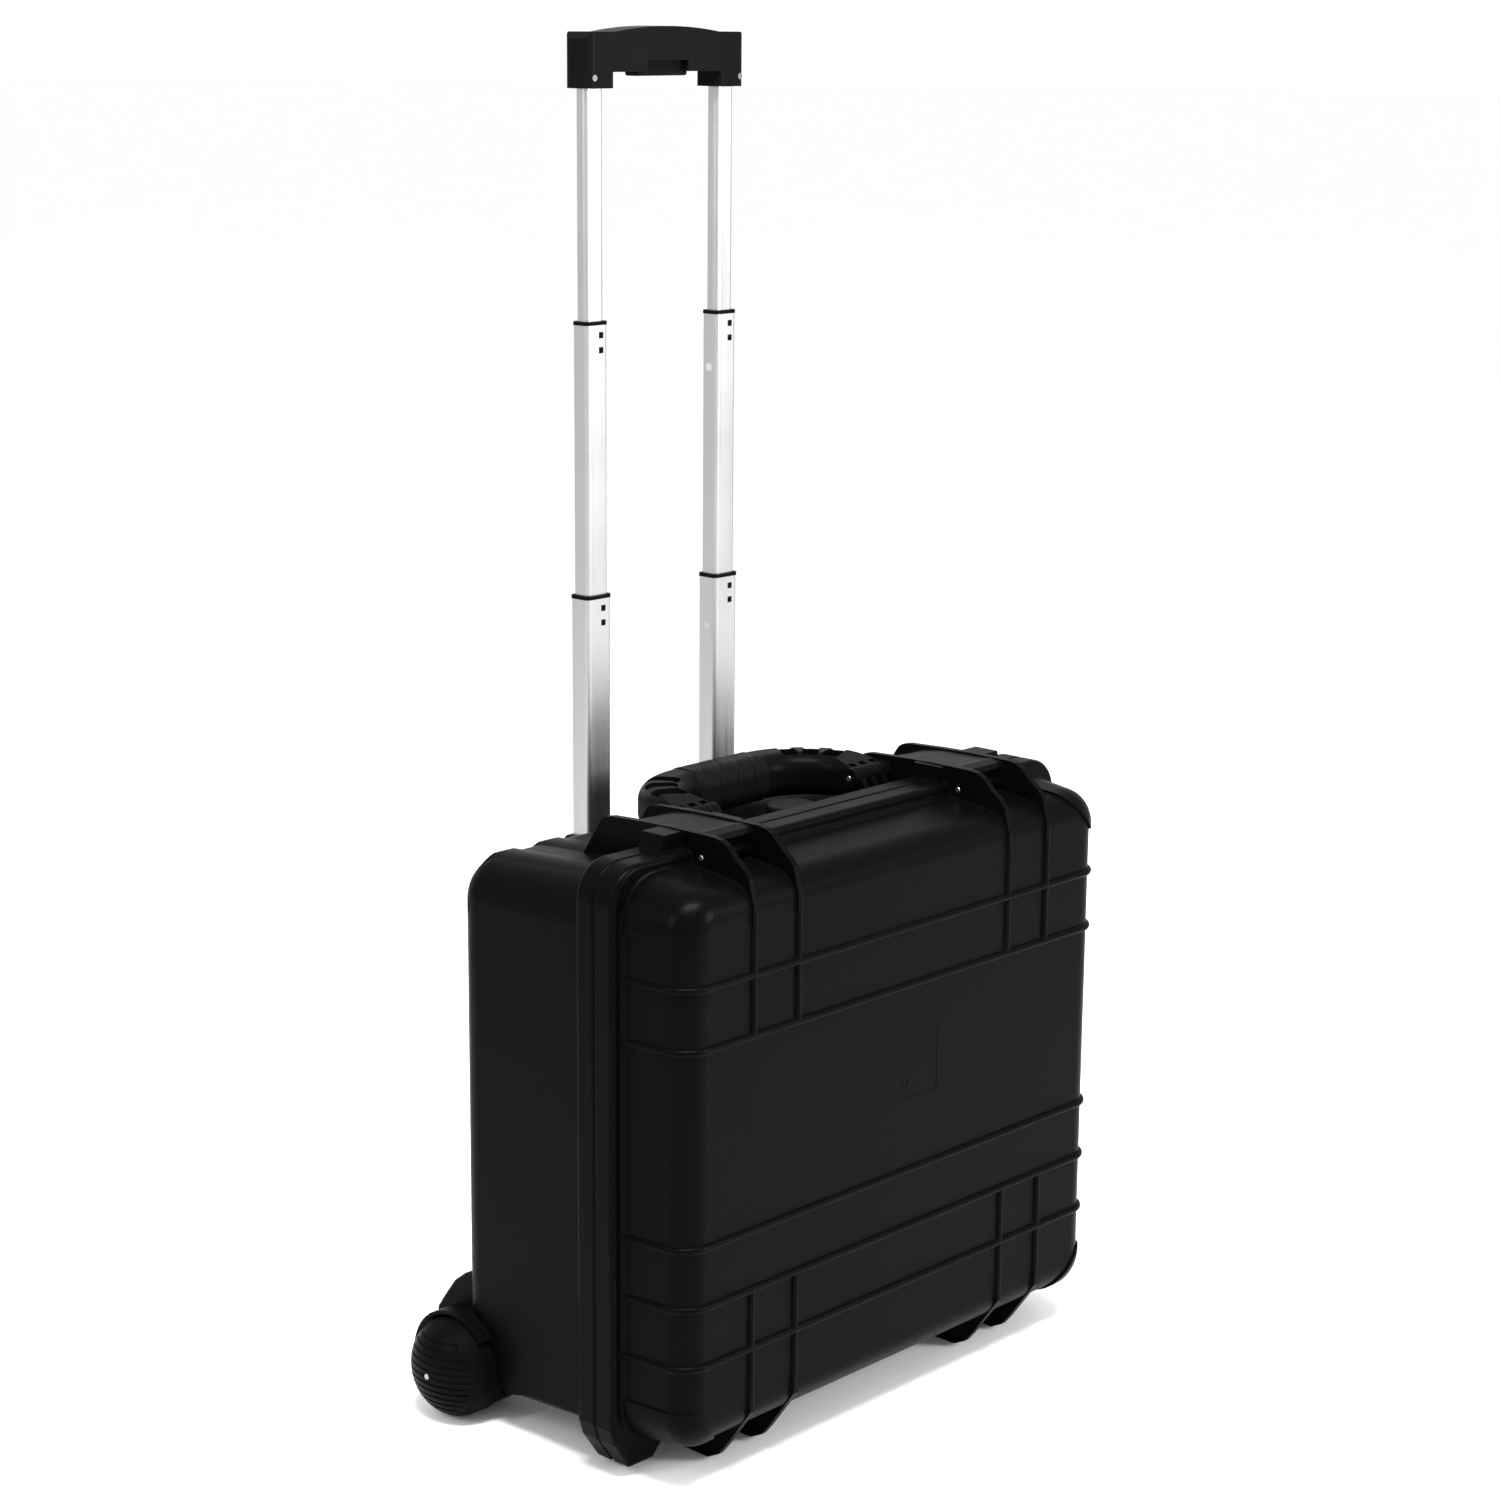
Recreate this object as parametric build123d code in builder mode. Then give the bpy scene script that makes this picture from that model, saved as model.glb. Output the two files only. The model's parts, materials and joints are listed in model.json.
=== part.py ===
from build123d import *

import os
from math import cos, radians, sin, tan

# Hard equipment case standing on its long hinge side, in millimetres.
# +Z is up, the lid faces -Y and the deep base is behind it. The origin is under
# the middle of the whole object, on the floor that it stands on.

# ---- driving dimensions ----
RIB_HEIGHT = 3.2  # how far the lid's beads stand proud
MIDDLE = 254.0  # height of the case's middle above the floor
GAP = 0.4  # gap between lid and base at the parting plane
WALL = 3.5  # moulded wall thickness

LID_DEPTH = 81.0  # lid's front to the parting plane
LID_HALF = (258.5, 227.5)  # lid body at the parting plane: half width, half height
LID_CORNER = 38.0
LID_DRAFT = 7.0  # degrees
LID_EDGE = 22.0  # rounding around the lid's front

BASE_DEPTH = 168.0  # parting plane to the base's back wall
BASE_HALF = (257.5, 219.0)  # half width and height at the parting plane
BASE_CORNER = 36.0
BASE_FAR_HALF = (253.1, 207.8)  # the same at the back wall
BASE_FAR_CORNER = 32.0
BASE_EDGE = 24.0  # rounding around the back wall

FLANGE_HALF = (267.0, 236.0)
FLANGE_CORNER = 30.0
FLANGE_THICK = 20.0
FLANGE_FILLET = 5.0
FLANGE_ROUND = 4.5  # rim away from the parting plane
PARTING_ROUND = 2.5  # rim at the parting plane
CORNER_FOOT = [(267, -200), (267, -211), (263, -224), (247, -247), (222, -247), (208, -232)]
SEAL_HALF = 260.5  # half width of the seal's centre line
SEAL_SIZE = (4.0, 3.0)

LABEL_DROP = 0.3
RIB_LEVELS = (150.0, 102.0, -54.0, -102.0, -150.0)
EAR_X = (128.0, 178.0)  # ear plates and the upright beads below them
EAR_THICK = 5.5
UPRIGHT_RADIUS = 3.0
BUMPER_PROUD = 2.0
BUMPER_HEIGHT = 186.0
BUMPER_SLANT = 428.0
BUMPER_REACH = 300.0  # past the case's outline
BOSS_ROOT = 230.0
BOSS_TOP = 249.0
INNER_BOSS = 14.0  # how far the bosses inside the latches reach from the parting plane
LID_OUTER_BOSS = 8.9
BASE_OUTER_BOSS = 14.0

HINGE = (81.0, -247.5)  # depth behind the front, height above the middle
HINGE_PIN = 2.2
HINGE_LUG = 6.2
RUNNING = 0.08  # radial clearance of a pin in its hole
HINGE_EAR_INSET = 6.0  # base hinge ears stand this far inside the lid's

LATCH_PIN_AT = (52.0, 231.5)
LATCH_PIN = 2.25
LATCH_LUG = 5.2
LATCH_WALL = 3.5
LATCH_SIDE_GAP = 0.6
STRIKE_AT = (137.5, 236.0)
STRIKE_RADIUS = 2.5
STRIKE_SPAN = (EAR_X[0] - 1.2, EAR_X[1] + 1.2)  # the bars end blind inside the ears
PADLOCK_AT = (68.5, 241.0)
PADLOCK_RADIUS = 3.25

RIDGE_X = (165.0, 213.0)  # shallow rounded ridges along the base's top
RIDGE_RADIUS = 39.0
RIDGE_PROUD = 2.6
RIDGE_END = 236.0
CHEEK_X = (190.0, 258.0)  # square lower corners of the base
CHEEK_TOP = -140.0
CHEEK_ROUND = 5.0

HANDLE_PIVOT = (133.0, 235.0)
HANDLE_PIN = 2.5
HANDLE_HALF = 102.5  # middle of an arm
HANDLE_BACK = 205.0  # depth of the grip's middle
HANDLE_LEVEL = 231.8
HANDLE_SECTION = (40.0, 38.0)  # across and height
HANDLE_EDGE = 14.0
HANDLE_CORNER = 61.3
GRIP_END = 41.0
GRIP_CORE = 10.0
GRIP_PROUD = 0.8
KNUCKLE_PITCH = 6.3
KNUCKLE_THICK = 5.3
KNUCKLE_RADIUS = 8.5
KNUCKLES = 7
POCKET_ANGLES = (20, 39, 58)
POCKET_SIZE = (27.0, 14.0)
POCKET_FLOOR = 240.0

VALVE_AT = 123.0
VALVE_RADIUS = 21.0
VALVE_BORE = 8.0
VALVE_SEAT = 219.5
VALVE_TOP = 229.6

TUBE_X = 75.0
TUBE_DEPTH = 278.0
INNER_TUBE = (20.0, 12.5)
MIDDLE_TUBE = (24.0, 17.0)
LOWER_TUBE = (27.5, 20.5)
SLEEVE_TUBE = (32.0, 25.0)
TUBE_WALL = 1.4
SLEEVE_WALL = 1.8
TUBE_ROUND = 4.0
SLEEVE_TOP = 188.0  # above the middle
SLEEVE_BOTTOM = -98.0
LOWER_TOP = 392.0
LOWER_LENGTH = 285.0
MIDDLE_TOP = 613.0
MIDDLE_LENGTH = 284.0
GRIP_BOTTOM = 795.0
INNER_BOTTOM = 512.0
COLLAR_HEIGHT = 3.0
COLLAR_PROUD = 0.6

TAB_SHIFT = 4.0
TAB_SIZE = 5.0
TAB_PROUD = 0.05
TAB_DROPS = (8.0, 20.0)  # below the tube's end
LOCK_LOWER = 347.0
LOCK_MIDDLE = 566.0
LOCK_RADIUS = 3.5
BLOCK_HEIGHT = 16.0
BLOCK_WIDTH = 40.0
BLOCK_DEPTH = 43.2
BLOCK_TIE = 14.0
COVER_PANEL = 16.0
COVER_WALL = 1.8
COVER_LIP = 14.0

GRIP_HALF = 90.0
GRIP_TOP = 843.0
GRIP_ARCH = 4.5  # rise of the top from the shoulders to the middle
GRIP_CORNER = 5.0
GRIP_ROUND = 7.5
GRIP_BRIDGE = 807.5
GRIP_LEG = 30.0
GRIP_THICK = 28.0
GRIP_WALL = 3.0
BUTTON_HALF = 30.0
BUTTON_PROUD = 3.5
ROD_RADIUS = 2.5

WHEEL_AT = (246.8, -213.1)
WHEEL_RADIUS = 40.9
WHEEL_INNER = 244.5
DOME_START = 262.0  # the wheel is cylindrical up to here, then domed
DOME_END = 293.0
CAP_START = 276.0
CAP_WALL = 3.0
CAP_SEAT = 34.0
GROOVE_PITCH = 5.6
GROOVE_COUNT = 5
GROOVE_DEPTH = 1.2
HUB_RADIUS = 27.0
HUB_END = 273.0
AXLE_RADIUS = 5.0
AXLE_STEP = 281.0
AXLE_TIP = 2.5
WASHER = 1.2
FENDER_RADIUS = 43.5
FENDER_THICK = 3.0
WELL_RADIUS = 43.8
FENDER_WIDTH = 22.0
FENDER_ANGLES = (11, 45, 80, 115, 138)
BRACKET_INNER = 185.0
BRACKET_OUTER = 243.0
BRACKET_REAR = 289.5
DRUM_INNER = 211.0
DRUM_RADIUS = 39.5

SIDES = {"left": -1, "right": 1}
# the guide blocks reach furthest back, and the origin is midway between them and the front beads
BLOCK_FRONT = LID_DEPTH + GAP / 2 + BASE_DEPTH + 0.2
REAR = BLOCK_FRONT + BLOCK_DEPTH
FRONT = (RIB_HEIGHT - REAR) / 2  # y of the lid's front plane
PARTING = FRONT + LID_DEPTH


def at(depth, height):
    """Point of a side view: depth behind the lid's front, height above the case's middle."""
    return (FRONT + depth, MIDDLE + height)


def across(side, inner, outer):
    """Side-view plane and width that cover inner..outer on one side, extruded towards +X."""
    start = inner if side > 0 else -outer
    return Plane.YZ.offset(start), outer - inner


def facing_front(y):
    """Front-view plane at the given y; positive extrusion goes towards the front."""
    return Plane.XZ.offset(-y)


def facing_back(y):
    """View from behind at the given y, with x reversed; positive extrusion goes back."""
    return Plane(origin=(0, y, 0), x_dir=(-1, 0, 0), z_dir=(0, 1, 0))


def save(builder, name):
    builder.part.label = name
    export_step(builder.part, f"parts/{name}.step")


def plate(plane, points, amount, mode=Mode.ADD):
    """Straight-sided plate of a closed outline, added to the piece being made."""
    with BuildSketch(plane) as sketch:
        Polygon(*points, align=None)
    extrude(sketch.sketch, amount=amount, mode=mode)


def rod(plane, centre, radius, amount, mode=Mode.ADD):
    """Round rod or hole, added to or cut from the piece being made."""
    with BuildSketch(plane) as sketch:
        with Locations(centre):
            Circle(radius)
    extrude(sketch.sketch, amount=amount, mode=mode)


def outline_face(half, corner, grow=0.0):
    """Rounded outline of the case, in a front or back view, grown by the given amount."""
    with Locations((0, MIDDLE)):
        RectangleRounded(2 * (half[0] + grow), 2 * (half[1] + grow), corner + grow)


def flange_face():
    """Outline of the flange with the two chamfered feet at its lower corners."""
    outline_face(FLANGE_HALF, FLANGE_CORNER)
    for side in SIDES.values():
        Polygon(*[(side * x, MIDDLE + z) for x, z in CORNER_FOOT], align=None)


def drafted_body(plane, half, corner, depth, draft, edge, grow=0.0):
    """Drafted tub with a rounded far edge, grown or shrunk all round."""
    with BuildPart() as body:
        with BuildSketch(plane):
            outline_face(half, corner, grow)
        extrude(amount=depth + grow, taper=draft)
        far = body.faces().sort_by(Axis(plane.origin, plane.z_dir))[-1]
        fillet(far.edges(), edge + grow)
    return body.part


def tapered_body(grow=0.0):
    """Base tub that narrows towards its rounded back wall, grown or shrunk all round."""
    near = base_face
    far = base_face + BASE_DEPTH + grow
    with BuildPart() as body:
        with BuildSketch(facing_back(near)):
            outline_face(BASE_HALF, BASE_CORNER, grow)
        with BuildSketch(facing_back(far)):
            outline_face(BASE_FAR_HALF, BASE_FAR_CORNER, grow)
        loft(ruled=True)
        fillet(body.faces().sort_by(Axis.Y)[-1].edges(), BASE_EDGE + grow)
    return body.part


def flange_rim(builder, y):
    """Outer edges of the flange's face at the given y."""
    low, high = y - 0.1, y + 0.1
    face = builder.faces().filter_by(Axis.Y).filter_by_position(Axis.Y, low, high).sort_by(SortBy.AREA)[-1]
    return face.outer_wire().edges()


def soften_flange(builder, free, parting):
    """Round both rims of the flange and fill its root against the body, given its faces' y."""
    low, high = free - 0.1, free + 0.1
    face = builder.faces().filter_by(Axis.Y).filter_by_position(Axis.Y, low, high).sort_by(SortBy.AREA)[-1]
    fillet(face.inner_wires()[0].edges(), FLANGE_FILLET)
    fillet(flange_rim(builder, free), FLANGE_ROUND)
    fillet(flange_rim(builder, parting), PARTING_ROUND)


def tube_section(size, wall=None, grow=0.0, side=1):
    """Rounded tube section in a plan view, hollow where a wall is given."""
    with Locations((side * TUBE_X, FRONT + TUBE_DEPTH)):
        RectangleRounded(size[0] + 2 * grow, size[1] + 2 * grow, TUBE_ROUND + grow)
        if wall:
            inner = (size[0] - 2 * wall, size[1] - 2 * wall)
            RectangleRounded(*inner, max(TUBE_ROUND - wall, 1.0), mode=Mode.SUBTRACT)


def flange_bosses(plane, inner_amount, outer_amount):
    """Raised stretches of the flange around both latches, open between the ears."""
    low, high = MIDDLE + BOSS_ROOT, MIDDLE + BOSS_TOP
    inner, outer = EAR_X[0] + EAR_THICK / 2, EAR_X[1] - EAR_THICK / 2
    for side in SIDES.values():
        near = ((118.5, low), (119.5, high), (inner, high), (inner, low))
        away = ((outer, low), (outer, high), (201, high), (206, low))
        plate(plane, [(side * x, z) for x, z in near], inner_amount)
        plate(plane, [(side * x, z) for x, z in away], outer_amount)


def ear_plates(points, xs, thick=EAR_THICK):
    """Plates of one side-view outline, centred on each |x| of xs, on both sides."""
    for x in xs:
        for side in SIDES.values():
            plate(Plane.YZ.offset(side * x - thick / 2), [at(*p) for p in points], thick)


def cross_holes(where, radius):
    """Holes along X through every ear, at one side-view point."""
    rod(Plane.YZ.offset(-LID_HALF[0]), at(*where), radius, 2 * LID_HALF[0], Mode.SUBTRACT)


def pin_pair(where, radius, inner, outer, name):
    """The same pin on both sides, along X."""
    with BuildPart() as pins:
        for side in SIDES.values():
            plane, width = across(side, inner, outer)
            rod(plane, at(*where), radius, width)
        chamfer(pins.edges().filter_by(GeomType.CIRCLE), radius / 6)
    save(pins, name)


os.makedirs("parts", exist_ok=True)

# ---- lid ----
lid_face = PARTING - GAP / 2
lid_tub = drafted_body(
    facing_front(lid_face), LID_HALF, LID_CORNER, LID_DEPTH - GAP / 2, LID_DRAFT, LID_EDGE
)
lid_hollow = drafted_body(
    facing_front(lid_face), LID_HALF, LID_CORNER, LID_DEPTH - GAP / 2, LID_DRAFT, LID_EDGE, -WALL
)
lid_thick = drafted_body(
    facing_front(lid_face), LID_HALF, LID_CORNER, LID_DEPTH - GAP / 2, LID_DRAFT, LID_EDGE, BUMPER_PROUD
)
lid_ear = [(-2.6, 190), (-2.6, 203), (3, 223.7), (8.5, 230.5), (17, 236.5), (26, 245.6), (33, 248.9)]
lid_ear += [(41, 250), (80.8, 250), (80.8, 215), (20, 190)]
lid_foot = [(-2.6, -190), (-2.6, -203), (24, -239.5), (31, -248), (42, -253.6), (74, -253.6), (80, -247)]
lid_foot += [(80.8, -215), (20, -190)]

with BuildPart() as bumpers:
    add(lid_thick)
    with BuildSketch(facing_front(lid_face)):
        for x_sign in (-1, 1):
            for z_sign in (-1, 1):
                corner = [
                    (BUMPER_SLANT - BUMPER_HEIGHT, BUMPER_HEIGHT),
                    (BUMPER_REACH, BUMPER_HEIGHT),
                    (BUMPER_REACH, BUMPER_REACH),
                    (BUMPER_SLANT - BUMPER_REACH, BUMPER_REACH),
                ]
                Polygon(*[(x_sign * x, MIDDLE + z_sign * z) for x, z in corner], align=None)
    extrude(amount=LID_DEPTH + 10, mode=Mode.INTERSECT)

with BuildPart() as lid:
    add(lid_tub)
    with BuildSketch(facing_front(lid_face)):
        flange_face()
    extrude(amount=FLANGE_THICK)
    soften_flange(lid, lid_face - FLANGE_THICK, lid_face)
    add(bumpers.part)
    flange_bosses(facing_front(lid_face), INNER_BOSS, LID_OUTER_BOSS)
    ear_plates(lid_ear, EAR_X)
    ear_plates(lid_foot, EAR_X)
    for x in EAR_X:
        for side in SIDES.values():
            rod(Plane.YZ.offset(side * x - EAR_THICK / 2), at(*HINGE), HINGE_LUG, EAR_THICK)
            for low, high in ((RIB_LEVELS[1], 200), (-200, RIB_LEVELS[3])):
                rod(Plane.XY.offset(MIDDLE + low), (side * x, FRONT), UPRIGHT_RADIUS, high - low)
    side_x = LID_HALF[0] - LID_DEPTH * tan(radians(LID_DRAFT))
    rib_start = LID_DEPTH - FLANGE_THICK + 4
    rib_x = side_x + rib_start * tan(radians(LID_DRAFT))
    for level in RIB_LEVELS:
        with BuildLine(Plane.XY.offset(MIDDLE + level)) as bead:
            FilletPolyline(
                (-rib_x, FRONT + rib_start),
                (-side_x, FRONT),
                (side_x, FRONT),
                (rib_x, FRONT + rib_start),
                radius=LID_EDGE,
            )
        with BuildSketch(Plane(origin=bead.line @ 0, z_dir=bead.line % 0)):
            Circle(RIB_HEIGHT)
        sweep(path=bead.line)
    # shallow label recess with the mould's gate mark
    with BuildSketch(facing_front(FRONT)):
        with Locations((0, MIDDLE + 32)):
            Rectangle(83, 50)
    extrude(amount=-LABEL_DROP, mode=Mode.SUBTRACT)
    with BuildSketch(facing_front(FRONT + LABEL_DROP)):
        with Locations((2, MIDDLE + 20)):
            Circle(4.2)
            Circle(3.2, mode=Mode.SUBTRACT)
    extrude(amount=-0.6, mode=Mode.SUBTRACT)
    add(lid_hollow, mode=Mode.SUBTRACT)
    # seal groove
    with BuildSketch(facing_front(lid_face)):
        outline_face((SEAL_HALF, SEAL_HALF - 31), LID_CORNER, SEAL_SIZE[0] / 2)
        with Locations((0, MIDDLE)):
            RectangleRounded(
                2 * SEAL_HALF - SEAL_SIZE[0],
                2 * (SEAL_HALF - 31) - SEAL_SIZE[0],
                LID_CORNER - SEAL_SIZE[0] / 2,
                mode=Mode.SUBTRACT,
            )
    extrude(amount=SEAL_SIZE[1], mode=Mode.SUBTRACT)
    cross_holes(HINGE, HINGE_PIN + RUNNING)
    cross_holes(LATCH_PIN_AT, LATCH_PIN + RUNNING)
    for side in SIDES.values():
        plane, width = across(side, EAR_X[1] - EAR_THICK, EAR_X[1] + EAR_THICK)
        rod(plane, at(*PADLOCK_AT), PADLOCK_RADIUS, width, Mode.SUBTRACT)
save(lid, "lid_shell")

with BuildPart() as seal:
    with BuildSketch(facing_front(lid_face)):
        outline_face((SEAL_HALF, SEAL_HALF - 31), LID_CORNER, SEAL_SIZE[0] / 2 - 0.1)
        with Locations((0, MIDDLE)):
            RectangleRounded(
                2 * SEAL_HALF - SEAL_SIZE[0] + 0.2,
                2 * (SEAL_HALF - 31) - SEAL_SIZE[0] + 0.2,
                LID_CORNER - SEAL_SIZE[0] / 2 + 0.1,
                mode=Mode.SUBTRACT,
            )
    extrude(amount=SEAL_SIZE[1])
save(seal, "seal_ring")

# ---- base ----
base_face = PARTING + GAP / 2
base_solid = tapered_body()
base_hollow = tapered_body(-WALL)
base_slope = (BASE_HALF[1] - BASE_FAR_HALF[1]) / BASE_DEPTH  # fall of the base's top
base_ear = [(81.2, 205), (81.2, 250), (114, 249), (148, 247.2), (154.5, 245.8), (158.5, 243.4)]
base_ear += [(161.5, 239.6), (183, 207), (183, 200)]
hinge_ear = [(80, -241.3), (80, -253.7), (95, -254), (150, -254), (186, -209), (186, -200)]
hinge_ear += [(81.2, -200), (81.2, -241.3)]
hinge_ear_x = (EAR_X[0] + HINGE_EAR_INSET, EAR_X[1] - HINGE_EAR_INSET)
cheek = [(85, CHEEK_TOP), (85, -216), (111, -217.4), (189, -222.8), (196, -224.5), (203, -221.5)]
cheek += [(211, -211.5), (217, -196), (220, -180), (221, CHEEK_TOP)]

with BuildPart() as ridges:
    for x in RIDGE_X:
        for side in SIDES.values():
            crown = (-side * x, MIDDLE + BASE_HALF[1] + RIDGE_PROUD - RIDGE_RADIUS)
            with BuildSketch(facing_back(base_face)) as ridge:
                with Locations(crown):
                    Circle(RIDGE_RADIUS)
            extrude(ridge.sketch, amount=RIDGE_END - LID_DEPTH, dir=(0, 1, -base_slope))
    add(tapered_body(RIDGE_PROUD), mode=Mode.INTERSECT)

# the lower corners stay square up to the wheel arches
with BuildPart() as cheeks:
    for side in SIDES.values():
        plane, width = across(side, *CHEEK_X)
        plate(plane, [at(*p) for p in cheek], width)
    far = base_face + BASE_DEPTH
    near_x, far_x = BASE_HALF[0], BASE_FAR_HALF[0]
    drafted = [(-near_x, base_face), (near_x, base_face), (far_x, far), (-far_x, far)]
    plate(Plane.XY, drafted, MIDDLE, Mode.INTERSECT)
    outer = cheeks.edges().filter_by(lambda e: abs(e.center().X) > far_x)
    lower = outer.filter_by(lambda e: e.center().Z < MIDDLE - 200 and e.length > 8)
    fillet(lower.filter_by(lambda e: abs(e.center().Y - base_face) > 5), CHEEK_ROUND)

with BuildPart() as wells:
    for side in SIDES.values():
        plane, width = across(side, BRACKET_OUTER, CHEEK_X[1])
        rod(plane, at(*WHEEL_AT), WELL_RADIUS, width)

# wall around each wheel well, inside the base
with BuildPart() as liners:
    for side in SIDES.values():
        plane, width = across(side, BRACKET_OUTER - WALL, CHEEK_X[1])
        rod(plane, at(*WHEEL_AT), WELL_RADIUS + WALL, width)
    add(base_solid, mode=Mode.INTERSECT)

with BuildPart() as base:
    add(base_solid)
    with BuildSketch(facing_back(base_face)):
        flange_face()
    extrude(amount=FLANGE_THICK)
    soften_flange(base, base_face + FLANGE_THICK, base_face)
    add(ridges.part)
    add(cheeks.part)
    flange_bosses(facing_back(base_face), INNER_BOSS, BASE_OUTER_BOSS)
    rod(Plane.XY.offset(MIDDLE + VALVE_SEAT - 12), (0, FRONT + VALVE_AT), VALVE_RADIUS + 1.5, 12)
    ear_plates(base_ear, EAR_X)
    ear_plates(hinge_ear, hinge_ear_x)
    for x in hinge_ear_x:
        for side in SIDES.values():
            rod(Plane.YZ.offset(side * x - EAR_THICK / 2), at(*HINGE), HINGE_LUG, EAR_THICK)
    add(base_hollow, mode=Mode.SUBTRACT)
    add(liners.part)
    add(wells.part, mode=Mode.SUBTRACT)
    cross_holes(HINGE, HINGE_PIN + RUNNING)
    for side in SIDES.values():
        plane, width = across(side, STRIKE_SPAN[0] - 0.1, STRIKE_SPAN[1] + 0.1)
        rod(plane, at(*STRIKE_AT), STRIKE_RADIUS + RUNNING, width, Mode.SUBTRACT)
    valve_centre = (0, FRONT + VALVE_AT)
    rod(Plane.XY.offset(MIDDLE), valve_centre, VALVE_BORE + RUNNING, BASE_HALF[1] + 20, Mode.SUBTRACT)
save(base, "base_shell")

half_ear = EAR_THICK / 2
pin_pair(HINGE, HINGE_PIN, EAR_X[0] - half_ear - 1, EAR_X[1] + half_ear + 1, "hinge_pins")
pin_pair(STRIKE_AT, STRIKE_RADIUS, *STRIKE_SPAN, "strike_bars")
pin_pair(LATCH_PIN_AT, LATCH_PIN, EAR_X[0] - half_ear - 0.8, EAR_X[1] + half_ear + 0.8, "latch_pins")

# ---- latches ----
latch_inner = EAR_X[0] + half_ear + LATCH_SIDE_GAP
latch_outer = EAR_X[1] - half_ear - LATCH_SIDE_GAP
latch_top = [(45, 244), (47, 248), (57, 249.6), (64, 248.8), (108, 247.8), (126, 245.8), (147, 239.6)]
latch_under = [(143.5, 239.2), (125, 243), (66, 245), (59, 238), (52, 235)]
latch_cheek = [(47, 235), (45, 244), (64, 248.8), (108, 247.8), (126, 245.8), (147, 239.6)]
latch_cheek += [(143.5, 239.2), (122, 240.5), (66, 238.5), (57, 235)]
for name, side in SIDES.items():
    with BuildPart() as latch:
        plane, width = across(side, latch_inner, latch_outer)
        plate(plane, [at(*p) for p in latch_top + latch_under], width)
        rod(plane, at(*LATCH_PIN_AT), LATCH_LUG, width)
        for inner in (latch_inner, latch_outer - LATCH_WALL):
            cheek_plane, cheek_width = across(side, inner, inner + LATCH_WALL)
            plate(cheek_plane, [at(*p) for p in latch_cheek], cheek_width)
        fillet(latch.edges().filter_by(Axis.X).group_by(Axis.Z)[-1], 2.5)
        rod(plane, at(*LATCH_PIN_AT), LATCH_PIN + RUNNING, width, Mode.SUBTRACT)
    save(latch, f"latch_{name}")

# ---- carry handle ----
# the handle is one fat bow; its arms end in knuckles that interleave with the bracket's
arm_run = HANDLE_BACK - HANDLE_CORNER
knuckle_half = KNUCKLE_THICK / 2
slot_half = KNUCKLE_PITCH - knuckle_half
knuckles = [HANDLE_HALF + (i - KNUCKLES // 2) * KNUCKLE_PITCH for i in range(KNUCKLES)]
handle_teeth = knuckles[::2]
bracket_teeth = knuckles[1::2]
handle_level = MIDDLE + HANDLE_LEVEL
below_arm = [(100, 190), (100, 219.4), (230, 211.2), (230, 190)]
above_arm = [(100, 243.5), (133, 243.5), (168, 252), (168, 270), (100, 270)]
tooth_slot = [(110, 190), (110, 262), (125, 262), (143, 241), (143, 190)]

with BuildPart() as handle:
    with BuildLine(Plane.XY.offset(handle_level)) as bow:
        FilletPolyline(
            (-HANDLE_HALF, FRONT + HANDLE_PIVOT[0]),
            (-HANDLE_HALF, FRONT + HANDLE_BACK),
            (HANDLE_HALF, FRONT + HANDLE_BACK),
            (HANDLE_HALF, FRONT + HANDLE_PIVOT[0]),
            radius=HANDLE_CORNER,
        )
    with BuildSketch(Plane(origin=bow.line @ 0, x_dir=(1, 0, 0), z_dir=bow.line % 0)):
        RectangleRounded(*HANDLE_SECTION, HANDLE_EDGE)
    sweep(path=bow.line)
    plate(Plane.YZ.offset(-150), [at(*p) for p in below_arm], 300, Mode.SUBTRACT)
    plate(Plane.YZ.offset(-150), [at(*p) for p in above_arm], 300, Mode.SUBTRACT)
    # only a round core runs through the soft grip
    with BuildSketch(Plane.YZ.offset(-GRIP_END)) as space:
        with Locations(at(HANDLE_BACK, HANDLE_LEVEL)):
            Rectangle(2 * HANDLE_SECTION[0], 2 * HANDLE_SECTION[1])
            Circle(GRIP_CORE, mode=Mode.SUBTRACT)
    extrude(space.sketch, amount=2 * GRIP_END, mode=Mode.SUBTRACT)
    for side in SIDES.values():
        # three moulded pockets around the top of each back corner
        turn = (side * (HANDLE_HALF - HANDLE_CORNER), FRONT + arm_run)
        for angle in POCKET_ANGLES:
            along = angle if side > 0 else 180 - angle
            with BuildSketch(Plane.XY.offset(MIDDLE + POCKET_FLOOR)) as pocket:
                with Locations(turn):
                    with Locations(Rotation(0, 0, along)):
                        with Locations((HANDLE_CORNER + 1, 0)):
                            RectangleRounded(*POCKET_SIZE, 2)
            extrude(pocket.sketch, amount=20, mode=Mode.SUBTRACT)
        for middle in bracket_teeth:
            slot, width = across(side, middle - slot_half, middle + slot_half)
            rod(slot, at(*HANDLE_PIVOT), KNUCKLE_RADIUS + 1.0, width, Mode.SUBTRACT)
            plate(slot, [at(*p) for p in tooth_slot], width, Mode.SUBTRACT)
        for middle in handle_teeth:
            knuckle, width = across(side, middle - knuckle_half, middle + knuckle_half)
            rod(knuckle, at(*HANDLE_PIVOT), KNUCKLE_RADIUS, width)
    rod(Plane.YZ.offset(-150), at(*HANDLE_PIVOT), HANDLE_PIN + RUNNING, 300, Mode.SUBTRACT)
save(handle, "carry_handle_frame")

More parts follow.
